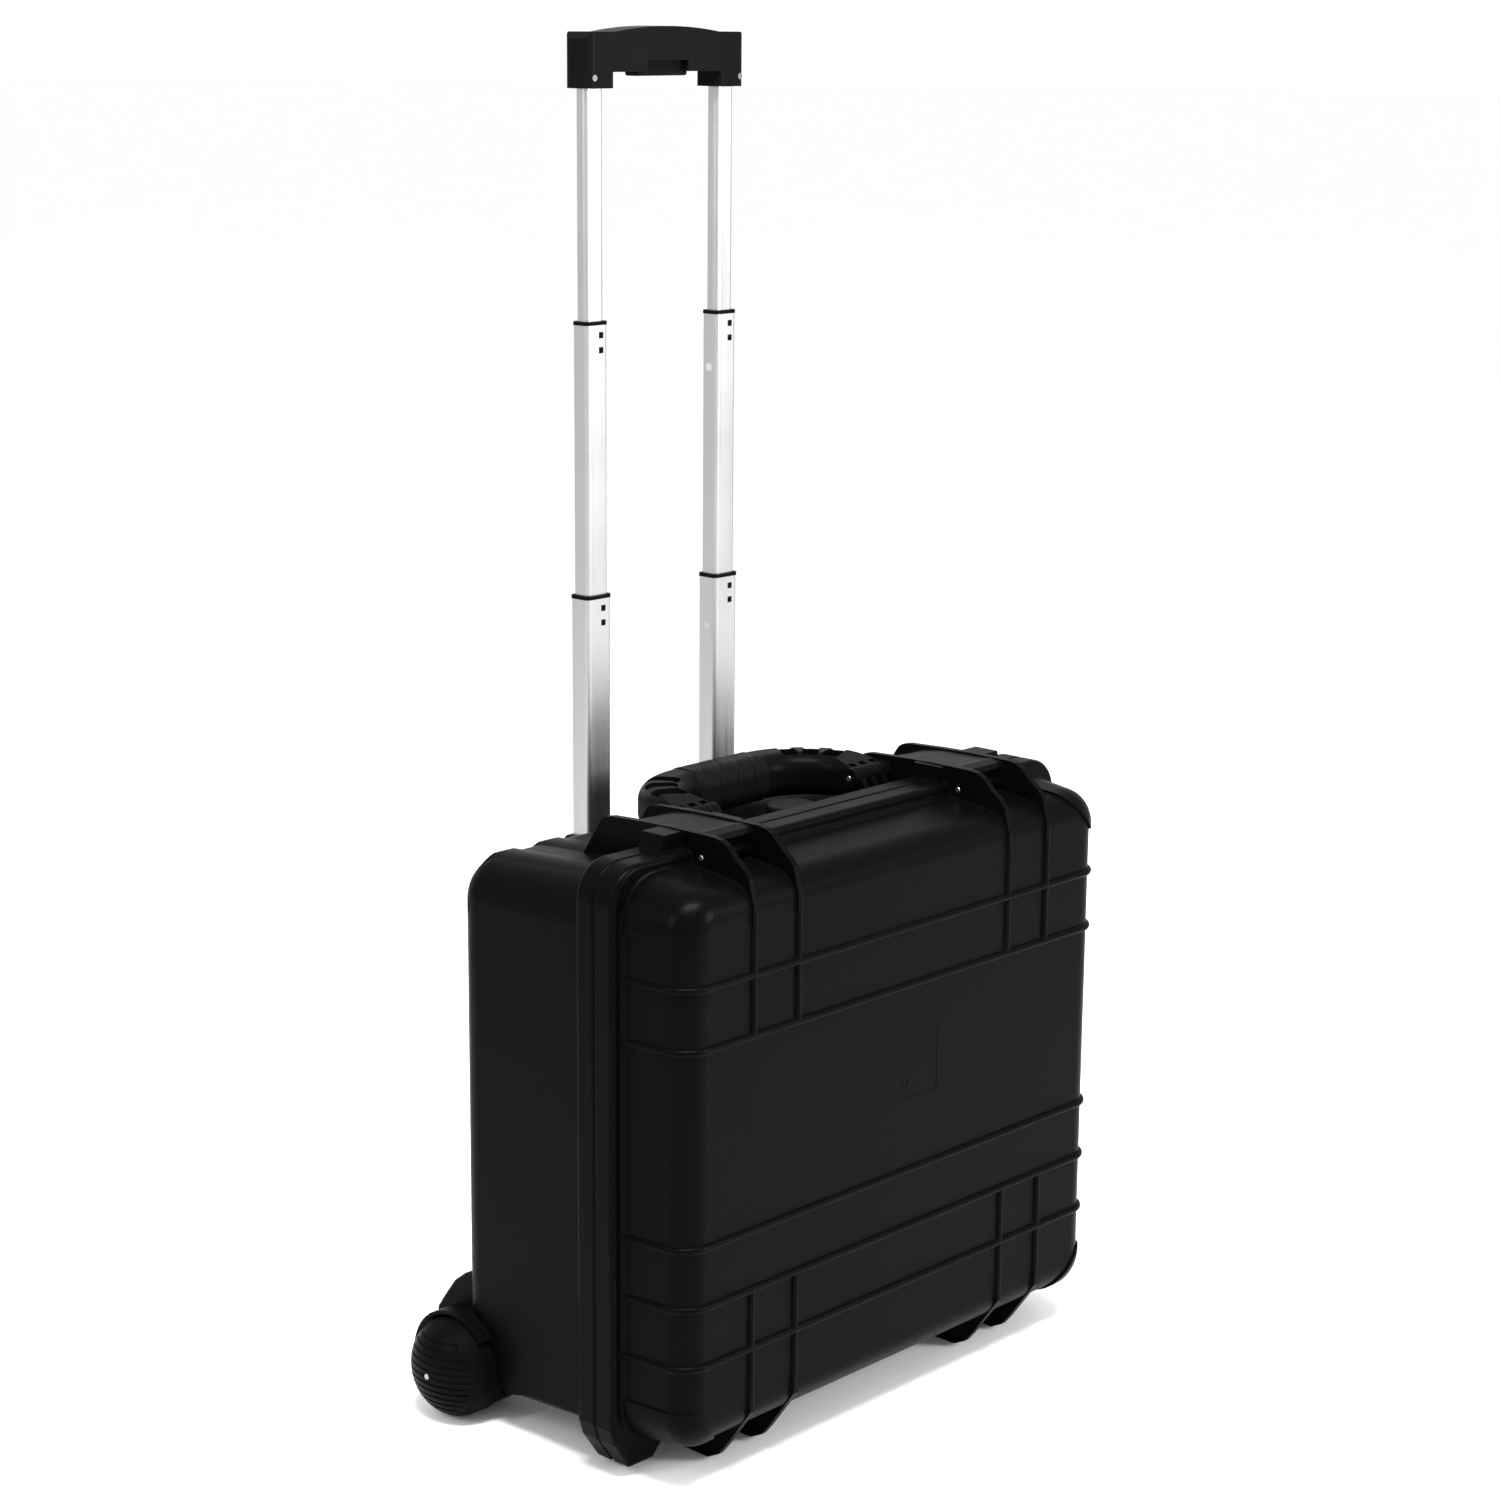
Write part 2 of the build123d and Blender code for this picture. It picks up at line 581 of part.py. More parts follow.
with BuildPart() as grip:
    with BuildSketch(Plane.YZ.offset(-GRIP_END + 0.2)) as section:
        with Locations(at(HANDLE_BACK, HANDLE_LEVEL)):
            across_grip = HANDLE_SECTION[0] + 2 * GRIP_PROUD
            RectangleRounded(across_grip, HANDLE_SECTION[1] + 2 * GRIP_PROUD, HANDLE_EDGE + GRIP_PROUD)
            Circle(GRIP_CORE + 0.05, mode=Mode.SUBTRACT)
    extrude(amount=2 * GRIP_END - 0.4)
    ends = grip.faces().filter_by(Axis.X)
    for end in ends:
        fillet(end.outer_wire().edges(), 1.5)
save(grip, "carry_handle_grip")

pin_pair(HANDLE_PIVOT, HANDLE_PIN, knuckles[0] - knuckle_half, knuckles[-1] + knuckle_half, "handle_pins")

bracket_foot = [(112, 214), (112, 219), (118, 219), (118, 214)]
tooth_leg = [(114, 216), (117, 222), (124.5, 235), (141.5, 235), (142, 216)]
for name, side in SIDES.items():
    with BuildPart() as bracket:
        foot, width = across(side, bracket_teeth[0] - knuckle_half, bracket_teeth[-1] + knuckle_half)
        plate(foot, [at(*p) for p in bracket_foot], width)
        for middle in bracket_teeth:
            tooth, width = across(side, middle - knuckle_half, middle + knuckle_half)
            plate(tooth, [at(*p) for p in tooth_leg], width)
            rod(tooth, at(*HANDLE_PIVOT), KNUCKLE_RADIUS, width)
            rod(tooth, at(*HANDLE_PIVOT), HANDLE_PIN + RUNNING, width, Mode.SUBTRACT)
        add(base_solid, mode=Mode.SUBTRACT)
    save(bracket, f"handle_bracket_{name}")

# ---- pressure valve ----
valve_y = FRONT + VALVE_AT
with BuildPart() as valve:
    rod(Plane.XY.offset(MIDDLE + VALVE_SEAT), (0, valve_y), VALVE_RADIUS - 1.5, 2)
    rod(Plane.XY.offset(MIDDLE + VALVE_SEAT - 12), (0, valve_y), VALVE_BORE, 12)
    rod(Plane.XY.offset(MIDDLE + VALVE_SEAT - 14), (0, valve_y), 3.05, 20, Mode.SUBTRACT)
save(valve, "valve_body")
with BuildPart() as knob:
    rod(Plane.XY.offset(MIDDLE + VALVE_SEAT + 2.3), (0, valve_y), VALVE_RADIUS, VALVE_TOP - VALVE_SEAT - 2.3)
    fillet(knob.edges().sort_by(Axis.Z)[-1], 2)
    rod(Plane.XY.offset(MIDDLE + VALVE_SEAT - 10), (0, valve_y), 3.0, 12.3)
save(knob, "valve_knob")

# ---- trolley handle: fixed part on the back ----
back = FRONT + BLOCK_FRONT


def tube(size, wall, low, high, name, windows=(), lock=None):
    """The same tube on both sides, with windows for guide tabs and a hole for a lock button."""
    for side_name, side in SIDES.items():
        with BuildPart() as piece:
            with BuildSketch(Plane.XY.offset(MIDDLE + low)) as section:
                tube_section(size, wall, side=side)
            extrude(amount=high - low)
            if lock:
                plane, width = across(side, TUBE_X - size[0] / 2 - 1, TUBE_X - size[0] / 2 + wall + 1)
                rod(plane, (FRONT + TUBE_DEPTH, MIDDLE + lock), LOCK_RADIUS + 0.05, width, Mode.SUBTRACT)
            for top in windows:
                # window for a guide tab in the front wall
                with BuildSketch(facing_front(FRONT + TUBE_DEPTH)) as window:
                    with Locations((side * TUBE_X + TAB_SHIFT, MIDDLE + high - top)):
                        Rectangle(TAB_SIZE, TAB_SIZE)
                extrude(amount=size[1], mode=Mode.SUBTRACT)
        save(piece, f"{name}_{side_name}")


tube(SLEEVE_TUBE, SLEEVE_WALL, SLEEVE_BOTTOM, SLEEVE_TOP, "trolley_sleeve")
lower_end = LOWER_TOP - COLLAR_HEIGHT
middle_end = MIDDLE_TOP - COLLAR_HEIGHT
tube(LOWER_TUBE, TUBE_WALL, lower_end - LOWER_LENGTH, lower_end, "lower_tube", TAB_DROPS, LOCK_LOWER)
tube(MIDDLE_TUBE, TUBE_WALL, middle_end - MIDDLE_LENGTH, middle_end, "middle_tube", TAB_DROPS, LOCK_MIDDLE)
tube(INNER_TUBE, TUBE_WALL, INNER_BOTTOM, GRIP_BRIDGE + 5, "inner_tube")

# ---- collars, guide tabs and lock buttons of the two moving outer stages ----
stages = {
    "lower": (LOWER_TUBE, MIDDLE_TUBE, LOWER_TOP),
    "middle": (MIDDLE_TUBE, INNER_TUBE, MIDDLE_TOP),
}
for stage, (outer, inner, top) in stages.items():
    for side_name, side in SIDES.items():
        with BuildPart() as collar:
            with BuildSketch(Plane.XY.offset(MIDDLE + top - COLLAR_HEIGHT)):
                tube_section(outer, grow=COLLAR_PROUD, side=side)
                with Locations((side * TUBE_X, FRONT + TUBE_DEPTH)):
                    RectangleRounded(inner[0] + 0.8, inner[1] + 0.8, TUBE_ROUND + 0.4, mode=Mode.SUBTRACT)
            extrude(amount=COLLAR_HEIGHT)
            chamfer(collar.faces().sort_by(Axis.Z)[-1].outer_wire().edges(), 0.5)
        save(collar, f"{stage}_collar_{side_name}")
    wall_y = FRONT + TUBE_DEPTH - outer[1] / 2
    with BuildPart() as tabs:
        for side in SIDES.values():
            for drop in TAB_DROPS:
                with BuildSketch(facing_front(wall_y + TUBE_WALL)) as tab:
                    with Locations((side * TUBE_X + TAB_SHIFT, MIDDLE + top - COLLAR_HEIGHT - drop)):
                        Rectangle(TAB_SIZE - 0.1, TAB_SIZE - 0.1)
                extrude(amount=TUBE_WALL + TAB_PROUD)
    save(tabs, f"{stage}_guide_tabs")
    lock_z = {"lower": LOCK_LOWER, "middle": LOCK_MIDDLE}[stage]
    with BuildPart() as locks:
        for side in SIDES.values():
            wall_x = TUBE_X - outer[0] / 2
            plane, width = across(side, wall_x, wall_x + TUBE_WALL)
            rod(plane, (FRONT + TUBE_DEPTH, MIDDLE + lock_z), LOCK_RADIUS, width)
    save(locks, f"{stage}_lock_buttons")

# ---- fixed guide blocks, back cover and screws ----
with BuildPart() as top_block:
    with BuildSketch(Plane.XY.offset(MIDDLE + SLEEVE_TOP - BLOCK_HEIGHT)):
        for side in SIDES.values():
            with Locations((side * TUBE_X, back + BLOCK_DEPTH / 2)):
                RectangleRounded(BLOCK_WIDTH, BLOCK_DEPTH, 5)
        with Locations((0, back + BLOCK_TIE / 2)):
            Rectangle(2 * TUBE_X, BLOCK_TIE)
    extrude(amount=BLOCK_HEIGHT + 2)
    chamfer(top_block.faces().sort_by(Axis.Z)[-1].edges(), 1.5)
    with BuildSketch(Plane.XY.offset(MIDDLE + SLEEVE_TOP - BLOCK_HEIGHT)):
        for side in SIDES.values():
            with Locations((side * TUBE_X, FRONT + TUBE_DEPTH)):
                RectangleRounded(SLEEVE_TUBE[0] + 0.1, SLEEVE_TUBE[1] + 0.1, TUBE_ROUND)
    extrude(amount=BLOCK_HEIGHT, mode=Mode.SUBTRACT)
    with BuildSketch(Plane.XY.offset(MIDDLE + SLEEVE_TOP - 1)):
        for side in SIDES.values():
            with Locations((side * TUBE_X, FRONT + TUBE_DEPTH)):
                RectangleRounded(LOWER_TUBE[0] + 0.8, LOWER_TUBE[1] + 0.8, TUBE_ROUND)
    extrude(amount=4, mode=Mode.SUBTRACT)
save(top_block, "trolley_top_block")

with BuildPart() as foot_block:
    with BuildSketch(Plane.XY.offset(MIDDLE + SLEEVE_BOTTOM - 6)):
        with Locations((0, back + BLOCK_DEPTH / 2)):
            RectangleRounded(2 * TUBE_X + BLOCK_WIDTH, BLOCK_DEPTH, 5)
    extrude(amount=24)
    with BuildSketch(Plane.XY.offset(MIDDLE + SLEEVE_BOTTOM)):
        for side in SIDES.values():
            with Locations((side * TUBE_X, FRONT + TUBE_DEPTH)):
                RectangleRounded(SLEEVE_TUBE[0] + 0.1, SLEEVE_TUBE[1] + 0.1, TUBE_ROUND)
    extrude(amount=24, mode=Mode.SUBTRACT)
save(foot_block, "trolley_foot_block")

cover_low = MIDDLE + SLEEVE_BOTTOM + 18.1
cover_high = MIDDLE + SLEEVE_TOP - BLOCK_HEIGHT - 0.1
with BuildPart() as cover:
    with BuildSketch(Plane.XY.offset(cover_low)):
        for side in SIDES.values():
            with Locations((side * TUBE_X, back + BLOCK_DEPTH / 2)):
                RectangleRounded(BLOCK_WIDTH, BLOCK_DEPTH, 5)
        with Locations((0, back + COVER_PANEL / 2)):
            Rectangle(2 * TUBE_X, COVER_PANEL)
    extrude(amount=cover_high - cover_low)
    with BuildSketch(Plane.XY.offset(cover_low)):
        for side in SIDES.values():
            with Locations((side * TUBE_X, back + BLOCK_DEPTH / 2 - COVER_WALL)):
                RectangleRounded(BLOCK_WIDTH - 2 * COVER_WALL, BLOCK_DEPTH, 3)
        with Locations((0, back + COVER_PANEL / 2 - COVER_WALL)):
            Rectangle(2 * TUBE_X, COVER_PANEL)
    extrude(amount=cover_high - cover_low, mode=Mode.SUBTRACT)
    # flat flanges that the screws hold against the base
    for side in SIDES.values():
        start = TUBE_X + BLOCK_WIDTH / 2 - COVER_WALL
        x0, x1 = sorted((side * start, side * (start + COVER_LIP)))
        lip = [(x0, cover_low), (x1, cover_low), (x1, cover_high), (x0, cover_high)]
        plate(facing_front(back + COVER_WALL), lip, COVER_WALL)
save(cover, "trolley_cover")

with BuildPart() as cover_screws:
    for side in SIDES.values():
        for z in (cover_low + 14, (cover_low + cover_high) / 2, cover_high - 14):
            x = side * (TUBE_X + BLOCK_WIDTH / 2 + COVER_LIP / 2 - 1)
            rod(facing_back(back + COVER_WALL), (-x, z), 4.5, 2.2)
            with BuildSketch(facing_back(back + COVER_WALL + 0.9)) as cross:
                with Locations((-x, z)):
                    Rectangle(4.6, 1.1)
                    Rectangle(1.1, 4.6)
            extrude(amount=3, mode=Mode.SUBTRACT)
    fillet(cover_screws.edges().filter_by(GeomType.CIRCLE).group_by(Axis.Y)[-1], 0.8)
save(cover_screws, "cover_screws")

# ---- trolley grip ----
grip_front = FRONT + TUBE_DEPTH - GRIP_THICK / 2
grip_back = grip_front + GRIP_THICK
chamber_y = GRIP_THICK - 2 * GRIP_WALL - 6
with BuildPart() as trolley_grip:
    with BuildSketch(facing_front(grip_back)):
        with BuildLine():
            shoulder = MIDDLE + GRIP_TOP - GRIP_ARCH
            Polyline(
                (-GRIP_HALF + GRIP_CORNER, shoulder),
                (-GRIP_HALF, shoulder - GRIP_CORNER),
                (-GRIP_HALF, MIDDLE + GRIP_BOTTOM),
                (-GRIP_HALF + GRIP_LEG, MIDDLE + GRIP_BOTTOM),
                (-GRIP_HALF + GRIP_LEG, MIDDLE + GRIP_BRIDGE),
                (GRIP_HALF - GRIP_LEG, MIDDLE + GRIP_BRIDGE),
                (GRIP_HALF - GRIP_LEG, MIDDLE + GRIP_BOTTOM),
                (GRIP_HALF, MIDDLE + GRIP_BOTTOM),
                (GRIP_HALF, shoulder - GRIP_CORNER),
                (GRIP_HALF - GRIP_CORNER, shoulder),
                (GRIP_HALF - GRIP_LEG, shoulder),
            )
            ThreePointArc(
                (GRIP_HALF - GRIP_LEG, shoulder), (0, MIDDLE + GRIP_TOP), (-GRIP_HALF + GRIP_LEG, shoulder)
            )
            Line((-GRIP_HALF + GRIP_LEG, shoulder), (-GRIP_HALF + GRIP_CORNER, shoulder))
        make_face()
    extrude(amount=GRIP_THICK)
    uprights = trolley_grip.edges().filter_by(Axis.Z)
    fillet(uprights.group_by(Axis.X)[0] + uprights.group_by(Axis.X)[-1], GRIP_ROUND)
    leg_x = GRIP_HALF - GRIP_LEG
    fillet(uprights.filter_by(lambda e: abs(abs(e.center().X) - leg_x) < 1), 4)
    # inner chamber for the release link, and sockets for the tubes
    with BuildSketch(Plane.XY.offset(MIDDLE + GRIP_BRIDGE + 6)):
        with Locations((0, FRONT + TUBE_DEPTH)):
            Rectangle(2 * TUBE_X + 22, chamber_y)
    extrude(amount=GRIP_TOP - GRIP_BRIDGE - 6 - 8, mode=Mode.SUBTRACT)
    with BuildSketch(Plane.XY.offset(MIDDLE + GRIP_BOTTOM - 1)):
        for side in SIDES.values():
            tube_section(INNER_TUBE, grow=0.05, side=side)
    extrude(amount=GRIP_BRIDGE + 10 - GRIP_BOTTOM, mode=Mode.SUBTRACT)
    with BuildSketch(Plane.XY.offset(MIDDLE + GRIP_BRIDGE - 1)):
        with Locations((0, FRONT + TUBE_DEPTH)):
            Rectangle(2 * BUTTON_HALF + 1, chamber_y)
    extrude(amount=12, mode=Mode.SUBTRACT)
    # window in the front wall that shows the button
    low, high = MIDDLE + GRIP_BRIDGE - 1, MIDDLE + GRIP_BRIDGE + 9
    window = [(-23, low), (23, low), (23, high), (-23, high)]
    plate(facing_front(grip_front + GRIP_THICK / 2), window, GRIP_THICK, Mode.SUBTRACT)
save(trolley_grip, "trolley_grip")

with BuildPart() as button:
    link_low = GRIP_BRIDGE + 9.8
    with BuildSketch(Plane.XY.offset(MIDDLE + GRIP_BRIDGE - BUTTON_PROUD)):
        with Locations((0, FRONT + TUBE_DEPTH)):
            RectangleRounded(2 * BUTTON_HALF, chamber_y - 1, 4)
    extrude(amount=BUTTON_PROUD + 9.8)
    fillet(button.faces().sort_by(Axis.Z)[0].edges(), 2)
save(button, "release_button")

with BuildPart() as link:
    with BuildSketch(Plane.XY.offset(MIDDLE + link_low)):
        with Locations((0, FRONT + TUBE_DEPTH)):
            Rectangle(2 * TUBE_X + 14, 9)
    extrude(amount=3)
save(link, "release_link")

with BuildPart() as rods:
    for side in SIDES.values():
        centre = (side * TUBE_X, FRONT + TUBE_DEPTH)
        rod(Plane.XY.offset(MIDDLE + INNER_BOTTOM + 4), centre, ROD_RADIUS, link_low - INNER_BOTTOM - 4)
save(rods, "release_rods")

with BuildPart() as grip_screws:
    for side in SIDES.values():
        where = (side * (GRIP_HALF - GRIP_LEG / 2 + 8), MIDDLE + GRIP_BOTTOM + 8)
        rod(facing_front(grip_front), where, 2.5, 0.8)
save(grip_screws, "grip_screws")

# ---- wheels and their brackets ----
bracket_side = [(213, -236), (221, -217), (229, -160), (236, -144), (241, -140), (248, -138.4)]
bracket_side += [(256, -142), (269, -151.8), (282, -169), (BRACKET_REAR, -180), (BRACKET_REAR, -202)]
bracket_side += [(284, -238)]
axis_point = at(*WHEEL_AT)
dome_length = DOME_END - DOME_START
spin = Axis((0, *axis_point), (1, 0, 0))


def wheel_profile(side, shrink=0.0):
    """Half section of the domed wheel between its axis and its surface."""
    plane = Plane(origin=(0, *axis_point), x_dir=(side, 0, 0), z_dir=(0, -side, 0))
    with BuildSketch(plane) as half:
        with Locations((DOME_START, 0)):
            Ellipse(dome_length - shrink, WHEEL_RADIUS - shrink)
        with Locations((DOME_START, WHEEL_RADIUS / 2)):
            Rectangle(2 * dome_length, WHEEL_RADIUS, mode=Mode.INTERSECT)
        with Locations((DOME_START + dome_length / 2, WHEEL_RADIUS / 2)):
            Rectangle(dome_length, WHEEL_RADIUS, mode=Mode.INTERSECT)
        with Locations(((WHEEL_INNER + DOME_START) / 2, (WHEEL_RADIUS - shrink) / 2)):
            Rectangle(DOME_START - WHEEL_INNER, WHEEL_RADIUS - shrink)
    return half.sketch


for name, side in SIDES.items():
    outward = Plane(origin=(0, 0, 0), x_dir=(0, side, 0), z_dir=(side, 0, 0))
    hub_centre = (side * axis_point[0], axis_point[1])
    with BuildPart() as bracket:
        plane, width = across(side, BRACKET_INNER, BRACKET_OUTER)
        plate(plane, [at(*p) for p in bracket_side], width)
        chamfer(bracket.faces().sort_by(Axis.X)[-1 if side > 0 else 0].edges(), 2)
        rod(outward.offset(DRUM_INNER), hub_centre, DRUM_RADIUS, BRACKET_OUTER - DRUM_INNER)
        # fender over the wheel
        plane, width = across(side, BRACKET_OUTER - 1, BRACKET_OUTER + FENDER_WIDTH)
        with BuildSketch(plane) as fender:
            with Locations(axis_point):
                Circle(FENDER_RADIUS + FENDER_THICK)
                Circle(FENDER_RADIUS, mode=Mode.SUBTRACT)
            reach = 2 * FENDER_RADIUS
            wedge = [(0, 0)] + [(reach * cos(radians(a)), reach * sin(radians(a))) for a in FENDER_ANGLES]
            wedge = [(axis_point[0] + a, axis_point[1] + b) for a, b in wedge]
            Polygon(*wedge, align=None, mode=Mode.INTERSECT)
        extrude(fender.sketch, amount=width)
        add(base_solid, mode=Mode.SUBTRACT)
        add(cheeks.part, mode=Mode.SUBTRACT)
        rod(outward.offset(BRACKET_OUTER - 18), hub_centre, AXLE_RADIUS, 40, Mode.SUBTRACT)
    save(bracket, f"wheel_bracket_{name}")

    with BuildPart() as axle:
        rod(outward.offset(BRACKET_OUTER - 18), hub_centre, AXLE_RADIUS, AXLE_STEP - BRACKET_OUTER + 18)
        rod(outward.offset(AXLE_STEP), hub_centre, AXLE_TIP, DOME_END + 0.3 - AXLE_STEP)
        chamfer(axle.edges().filter_by(GeomType.CIRCLE).filter_by(lambda e: e.radius < AXLE_TIP + 0.1), 0.5)
    save(axle, f"axle_{name}")

    with BuildPart() as washer:
        rod(outward.offset(BRACKET_OUTER), hub_centre, 2 * AXLE_RADIUS, WASHER)
        rod(outward.offset(BRACKET_OUTER), hub_centre, AXLE_RADIUS + 0.05, WASHER, Mode.SUBTRACT)
    save(washer, f"wheel_washer_{name}")

    with BuildPart() as tyre:
        revolve(wheel_profile(side), axis=spin)
        rod(outward.offset(CAP_START), hub_centre, WHEEL_RADIUS, 30, Mode.SUBTRACT)
        rod(outward.offset(WHEEL_INNER), hub_centre, HUB_RADIUS, 40, Mode.SUBTRACT)
        rims = tyre.edges().filter_by(GeomType.CIRCLE)
        inner_rims = rims.filter_by(lambda e: abs(e.center().X) < WHEEL_INNER + 0.1)
        fillet(inner_rims.sort_by(SortBy.LENGTH)[-1], 3)
    save(tyre, f"tyre_{name}")

    with BuildPart() as hub:
        rod(outward.offset(WHEEL_INNER), hub_centre, HUB_RADIUS, HUB_END - WHEEL_INNER)
        rod(outward.offset(WHEEL_INNER), hub_centre, HUB_RADIUS - 4, 5, Mode.SUBTRACT)
        rod(outward.offset(WHEEL_INNER), hub_centre, 2 * AXLE_RADIUS, 5)
        rod(outward.offset(WHEEL_INNER), hub_centre, AXLE_RADIUS + RUNNING, 40, Mode.SUBTRACT)
    save(hub, f"hub_{name}")

    with BuildPart() as cap:
        revolve(wheel_profile(side), axis=spin)
        # parallel grooves across the whole cap
        for step in range(-GROOVE_COUNT, GROOVE_COUNT + 1):
            y, z = hub_centre[0], hub_centre[1] + GROOVE_PITCH * step
            slab = [(y - 50, z - 0.8), (y + 50, z - 0.8), (y + 50, z + 0.8), (y - 50, z + 0.8)]
            plate(outward.offset(CAP_START + 1.5), slab, 30, Mode.SUBTRACT)
        revolve(wheel_profile(side, GROOVE_DEPTH), axis=spin)
        revolve(wheel_profile(side, CAP_WALL), axis=spin, mode=Mode.SUBTRACT)
        rod(outward.offset(WHEEL_INNER), hub_centre, WHEEL_RADIUS + 1, CAP_START - WHEEL_INNER, Mode.SUBTRACT)
        rod(outward.offset(HUB_END), hub_centre, HUB_RADIUS - 0.2, CAP_START - HUB_END + 1)
        rod(outward.offset(CAP_START), hub_centre, CAP_SEAT, 2)
        rod(outward.offset(DOME_END - CAP_WALL - 2), hub_centre, AXLE_TIP + RUNNING, 20, Mode.SUBTRACT)
        rod(outward.offset(HUB_END - 1), hub_centre, AXLE_RADIUS + RUNNING, 10, Mode.SUBTRACT)
    save(cap, f"wheel_cap_{name}")

with BuildPart() as bracket_screws:
    for side in SIDES.values():
        for x in (BRACKET_INNER + 12, DRUM_INNER - 8):
            rod(facing_back(FRONT + BRACKET_REAR), (-side * x, MIDDLE - 191), 4, 1.6)
save(bracket_screws, "bracket_screws")
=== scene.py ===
"""Hard trolley case: looks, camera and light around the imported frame. Metres, +Z up."""
import json
import math

import bmesh
import bpy
from mathutils import Matrix, Vector


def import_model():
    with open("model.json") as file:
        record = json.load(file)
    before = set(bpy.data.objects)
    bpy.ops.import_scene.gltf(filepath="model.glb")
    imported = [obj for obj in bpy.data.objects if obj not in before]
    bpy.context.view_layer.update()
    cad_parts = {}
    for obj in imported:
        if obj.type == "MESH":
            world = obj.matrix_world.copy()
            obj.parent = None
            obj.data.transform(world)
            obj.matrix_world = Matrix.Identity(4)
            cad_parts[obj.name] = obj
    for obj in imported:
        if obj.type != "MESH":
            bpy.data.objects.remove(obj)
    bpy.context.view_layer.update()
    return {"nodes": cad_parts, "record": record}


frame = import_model()

NODES = frame["nodes"]
MM = 0.001

# ---------------------------------------------------------------- shader helpers


class Shader:
    """A material under construction: thin wrapper that adds and links nodes."""

    def __init__(self, name):
        self.material = bpy.data.materials.new(name)
        self.material.use_nodes = True
        self.tree = self.material.node_tree
        self.surface = self.tree.nodes["Principled BSDF"]
        self.place = self.tree.nodes.new("ShaderNodeTexCoord").outputs["Object"]
        self.normal = None

    def node(self, kind, links=None, **settings):
        made = self.tree.nodes.new(kind)
        for key, value in settings.items():
            setattr(made, key, value)
        for socket, source in (links or {}).items():
            if isinstance(source, bpy.types.NodeSocket):
                self.tree.links.new(source, made.inputs[socket])
            else:
                made.inputs[socket].default_value = source
        return made

    def stretched(self, scale):
        """Object coordinates with a scale for each axis."""
        mapping = self.node("ShaderNodeMapping", {"Vector": self.place})
        mapping.inputs["Scale"].default_value = scale
        return mapping.outputs["Vector"]

    def noise(self, scale, detail=4.0, rough=0.5, vector=None, distortion=0.0):
        made = self.node(
            "ShaderNodeTexNoise",
            {"Vector": vector or self.place, "Scale": scale, "Detail": detail,
             "Roughness": rough, "Distortion": distortion},
        )
        return made.outputs["Fac"]

    def cells(self, scale, vector=None):
        made = self.node("ShaderNodeTexVoronoi", {"Vector": vector or self.place, "Scale": scale})
        made.feature = "SMOOTH_F1"
        return made.outputs["Distance"]

    def remap(self, value, low, high, out_low, out_high):
        made = self.node(
            "ShaderNodeMapRange",
            {"Value": value, "From Min": low, "From Max": high, "To Min": out_low, "To Max": out_high},
        )
        made.clamp = True
        return made.outputs["Result"]

    def math(self, operation, a, b=0.0):
        made = self.node("ShaderNodeMath", {0: a, 1: b}, operation=operation)
        return made.outputs["Value"]

    def mix(self, factor, a, b):
        made = self.node("ShaderNodeMix", data_type="RGBA")
        for socket, source in ((0, factor), (6, a), (7, b)):
            if isinstance(source, bpy.types.NodeSocket):
                self.tree.links.new(source, made.inputs[socket])
            else:
                made.inputs[socket].default_value = source
        return made.outputs[2]

    def bump(self, height, distance, strength=1.0):
        links = {"Height": height, "Distance": distance, "Strength": strength}
        if self.normal:
            links["Normal"] = self.normal
        self.normal = self.node("ShaderNodeBump", links).outputs["Normal"]

    def crevice(self, reach):
        """1 in open places, towards 0 in grooves and corners."""
        made = self.node("ShaderNodeAmbientOcclusion", {"Distance": reach}, samples=8)
        return made.outputs["AO"]

    def set(self, **inputs):
        for key, value in inputs.items():
            socket = self.surface.inputs[key.replace("_", " ")]
            if isinstance(value, bpy.types.NodeSocket):
                self.tree.links.new(value, socket)
            else:
                socket.default_value = value
        return self

    def done(self):
        if self.normal:
            self.tree.links.new(self.normal, self.surface.inputs["Normal"])
        return self.material


def grey(level, blue=0.0, warm=0.0):
    return (level + warm, level, level + blue, 1.0)


def moulded_plastic(name, level, rough, grain=900.0, depth=0.05, dust=0.12, wave=True):
    """Black moulded plastic: fine spark texture, slow sink marks, a little dust in grooves."""
    s = Shader(name)
    fine = s.cells(grain)
    mottled = s.noise(grain * 0.45, 3.0, 0.6)
    patches = s.noise(9.0, 4.0, 0.55)
    scuffs = s.noise(26.0, 6.0, 0.7, s.stretched((1.0, 1.0, 0.35)), 0.4)
    if wave:
        s.bump(s.noise(11.0, 2.0, 0.4), 0.6 * MM, 0.35)
    s.bump(mottled, depth * MM, 0.35)
    s.bump(fine, depth * MM, 0.5)
    open_share = s.crevice(4 * MM)
    tone = s.mix(s.remap(patches, 0.35, 0.7, 0.0, 1.0), grey(level * 0.9), grey(level * 1.12, 0.0004))
    tone = s.mix(s.remap(scuffs, 0.62, 0.82, 0.0, 0.35), tone, grey(level * 1.7))
    dusty = s.math("MULTIPLY", s.remap(open_share, 0.2, 0.85, 1.0, 0.0), dust)
    tone = s.mix(dusty, tone, (0.03, 0.029, 0.027, 1.0))
    roughness = s.remap(patches, 0.3, 0.7, rough - 0.04, rough + 0.05)
    roughness = s.math("ADD", roughness, s.remap(scuffs, 0.55, 0.8, 0.0, 0.10))
    return s.set(Base_Color=tone, Roughness=roughness, IOR=1.5, Specular_IOR_Level=0.022).done()


